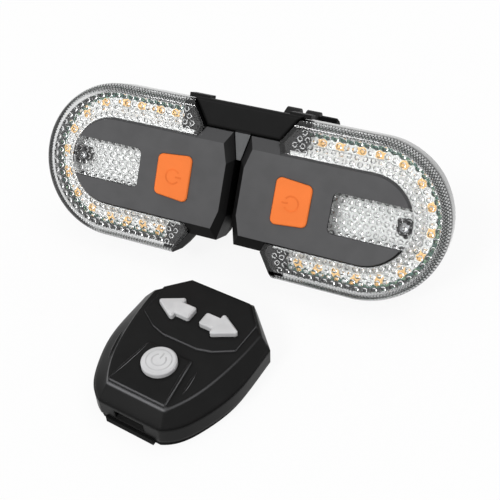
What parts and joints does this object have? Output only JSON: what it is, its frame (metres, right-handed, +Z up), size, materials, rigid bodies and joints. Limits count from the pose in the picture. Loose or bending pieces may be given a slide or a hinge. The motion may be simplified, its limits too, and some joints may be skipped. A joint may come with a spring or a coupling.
{
  "type": "bicycle turn signal light",
  "caption": "Twin-pod rear turn signal light with clear lens rings on a tilting seat-post bracket, and its wireless handlebar remote with arrow keys.",
  "frame": {"origin": "middle of the footprint of light, clamp and remote, on the surface that they stand on", "axes": "+Z up, +X along the light towards its right pod as seen from the front, +Y from the lamp faces towards the seat-post clamp"},
  "size_m": [0.1534, 0.1684, 0.0582],
  "materials": {
    "face_grey": "satin moulded",
    "housing_black": "fine moulded",
    "lens_clear": "clear moulded with prism pattern",
    "reflector_white": "gloss white",
    "board_green": "solder mask",
    "led_amber": "clear cap over amber die",
    "button_orange": "satin",
    "battery_wrap": "foil",
    "steel": "plated",
    "rubber_black": "soft matte",
    "bracket_black": "matte moulded",
    "remote_black": "satin moulded",
    "key_grey": "satin"
  },
  "bodies": {
    "clamp_and_remote": {"clamp_ring": "bracket_black", "clamp_liner": "rubber_black", "clamp_nut": "steel", "remote_top_shell": "remote_black", "remote_lower_shell": "remote_black", "remote_pad": "rubber_black", "coin_cell": "steel", "cell_contact": "steel", "remote_board": "board_green", "key_switches": "steel", "remote_screws": "steel"},
    "clamp_knob": {"clamp_screw": "housing_black"},
    "bracket": {"bracket": "bracket_black", "tilt_bolt": "steel", "tilt_nut": "steel"},
    "right_pod": {"right_front_cover": "face_grey", "right_lens": "lens_clear", "right_rear_housing": "housing_black", "right_seal": "rubber_black", "right_main_board": "board_green", "right_led_board": "board_green", "right_leds": "led_amber", "right_reflector": "reflector_white", "right_battery": "battery_wrap", "right_button_switch": "steel", "right_case_screws": "steel", "right_usb_port": "steel"},
    "right_power_button": {"right_power_button": "button_orange"},
    "right_usb_cover": {"right_usb_cover": "rubber_black"},
    "left_pod": {"left_front_cover": "face_grey", "left_lens": "lens_clear", "left_rear_housing": "housing_black", "left_seal": "rubber_black", "left_main_board": "board_green", "left_led_board": "board_green", "left_leds": "led_amber", "left_reflector": "reflector_white", "left_battery": "battery_wrap", "left_button_switch": "steel", "left_case_screws": "steel", "left_usb_port": "steel"},
    "left_power_button": {"left_power_button": "button_orange"},
    "left_usb_cover": {"left_usb_cover": "rubber_black"},
    "right_arrow_key": {"right_arrow_key": "key_grey"},
    "left_arrow_key": {"left_arrow_key": "key_grey"},
    "round_key": {"round_key": "key_grey"},
    "battery_cap": {"battery_cap": "remote_black"}
  },
  "joints": [
    {"name": "bracket_tilt", "type": "hinge", "parent": "clamp_and_remote", "child": "bracket", "pos_m": [0, 0.02616, 0.01553], "axis": [1, 0, 0], "range_deg": [-15, 60]},
    {"name": "clamp_knob_turn", "type": "hinge", "parent": "clamp_and_remote", "child": "clamp_knob", "pos_m": [0.0075, 0.07686, 0.011], "axis": [1, 0, 0], "continuous": true},
    {"name": "right_pod_slide", "type": "slide", "parent": "bracket", "child": "right_pod", "axis": [1, 0, 0], "range_m": [0, 0.03]},
    {"name": "right_power_button_press", "type": "slide", "parent": "right_pod", "child": "right_power_button", "axis": [0, 0.8616, -0.5075], "range_m": [0, 0.0005], "stiffness_N_per_m": 3000, "springref_m": -0.0001},
    {"name": "right_usb_cover_hinge", "type": "hinge", "parent": "right_pod", "child": "right_usb_cover", "pos_m": [0.0545, 0.01769, 0.024], "axis": [0, -0.5075, -0.8616], "range_deg": [0, 100]},
    {"name": "left_pod_slide", "type": "slide", "parent": "bracket", "child": "left_pod", "axis": [-1, 0, 0], "range_m": [0, 0.03]},
    {"name": "left_power_button_press", "type": "slide", "parent": "left_pod", "child": "left_power_button", "axis": [0, 0.8616, -0.5075], "range_m": [0, 0.0005], "stiffness_N_per_m": 3000, "springref_m": -0.0001},
    {"name": "left_usb_cover_hinge", "type": "hinge", "parent": "left_pod", "child": "left_usb_cover", "pos_m": [-0.0545, 0.01769, 0.024], "axis": [0, 0.5075, 0.8616], "range_deg": [0, 100]},
    {"name": "right_arrow_key_press", "type": "slide", "parent": "clamp_and_remote", "child": "right_arrow_key", "axis": [0, 0, -1], "range_m": [0, 0.0005], "stiffness_N_per_m": 1500, "springref_m": -0.0001},
    {"name": "left_arrow_key_press", "type": "slide", "parent": "clamp_and_remote", "child": "left_arrow_key", "axis": [0, 0, -1], "range_m": [0, 0.0005], "stiffness_N_per_m": 1500, "springref_m": -0.0001},
    {"name": "round_key_press", "type": "slide", "parent": "clamp_and_remote", "child": "round_key", "axis": [0, 0, -1], "range_m": [0, 0.0005], "stiffness_N_per_m": 1500, "springref_m": -0.0001},
    {"name": "battery_cap_turn", "type": "hinge", "parent": "clamp_and_remote", "child": "battery_cap", "pos_m": [0.00358, -0.05589, 0.0004], "axis": [0, 0, 1], "range_deg": [0, 60]}
  ]
}
